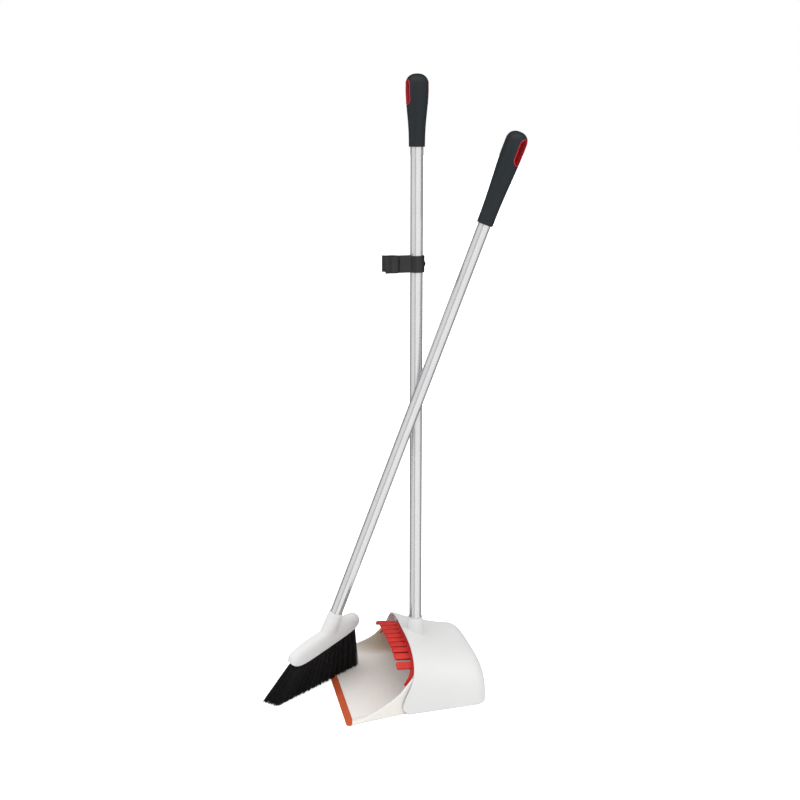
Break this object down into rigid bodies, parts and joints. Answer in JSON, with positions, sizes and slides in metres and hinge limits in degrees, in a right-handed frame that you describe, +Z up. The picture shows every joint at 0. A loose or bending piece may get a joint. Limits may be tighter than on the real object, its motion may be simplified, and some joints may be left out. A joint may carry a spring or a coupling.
{
  "type": "upright dustpan and broom set",
  "caption": "Upright dustpan with an arched bin, a comb for cleaning bristles and a storage clip on its tube, with an angled broom leaning on it.",
  "frame": {"origin": "on the floor, under the axis of the dustpan's tube", "axes": "+Z up, -Y towards the pan's lip, +X towards the side where the broom's tube passes; the dustpan is symmetric about X = 0"},
  "size_m": [0.2446, 0.3961, 0.949],
  "materials": {
    "white_plastic": "satin",
    "orange_lip": "satin",
    "red_comb": "satin",
    "satin_tube": "satin",
    "grey_plastic": "matte",
    "screw_steel": "satin",
    "soft_grip": "matte",
    "red_liner": "gloss",
    "black_plastic": "satin",
    "bristle": "satin"
  },
  "bodies": {
    "dustpan": {"pan_tray": "white_plastic", "bin_hood": "white_plastic", "lip_strip": "orange_lip", "bristle_comb": "red_comb", "pan_tube": "satin_tube", "pan_tube_plug": "grey_plastic", "pan_tube_screw": "screw_steel", "pan_grip_core": "grey_plastic", "pan_grip": "soft_grip", "pan_hang_liner": "red_liner"},
    "clip": {"storage_clip": "black_plastic", "clip_screw": "black_plastic"},
    "broom": {"broom_head": "white_plastic", "bristle_block": "black_plastic", "block_screws": "screw_steel", "broom_tube": "satin_tube", "broom_tube_plug": "grey_plastic", "broom_tube_screw": "screw_steel", "broom_grip_core": "grey_plastic", "broom_grip": "soft_grip", "broom_hang_liner": "red_liner", "bristles_back": "bristle", "bristles_middle": "bristle", "bristles_front": "bristle"}
  },
  "joints": [
    {"name": "broom_lift_off", "type": "slide", "parent": "dustpan", "child": "broom", "axis": [0.6387, -0.6387, 0.4291], "range_m": [0, 0.35]},
    {"name": "clip_swivel", "type": "hinge", "parent": "dustpan", "child": "clip", "pos_m": [0, 0, 0.6773], "axis": [0, 0, 1], "range_deg": [-90, 90]}
  ]
}
